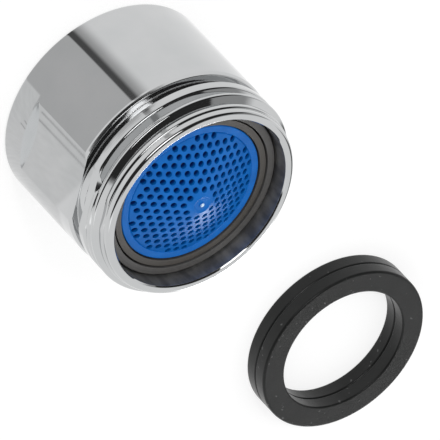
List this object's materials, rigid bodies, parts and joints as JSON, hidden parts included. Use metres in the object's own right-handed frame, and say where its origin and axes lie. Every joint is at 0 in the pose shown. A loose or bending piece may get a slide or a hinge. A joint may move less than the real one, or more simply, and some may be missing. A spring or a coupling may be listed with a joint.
{
  "type": "tap aerator",
  "caption": "Round chromed tap aerator with an outside thread, spanner flats, a perforated conical strainer in its inlet and a loose sealing washer; it mixes air into tap water.",
  "frame": {"origin": "centre of the outlet face, on the surface that the aerator stands on", "axes": "+Z along the aerator's axis towards the inlet and its thread; the two spanner flats face -Y and +Y"},
  "size_m": [0.0444, 0.0448, 0.0142],
  "materials": {
    "chrome": "bright chrome plate on turned brass",
    "casing_plastic": "dark grey moulded, satin",
    "strainer_plastic": "blue moulded, half gloss",
    "jet_plastic": "brownish grey moulded, satin",
    "insert_plastic": "pale grey moulded, matt",
    "washer_rubber": "black moulded, matt"
  },
  "bodies": {
    "root": {"housing": "chrome", "cartridge_casing": "casing_plastic", "strainer": "strainer_plastic", "jet_plate": "jet_plastic", "mixing_ring": "insert_plastic", "upper_lattice": "insert_plastic", "lower_lattice": "insert_plastic", "outlet_grid": "casing_plastic", "sealing_washer": "washer_rubber"}
  },
  "joints": []
}
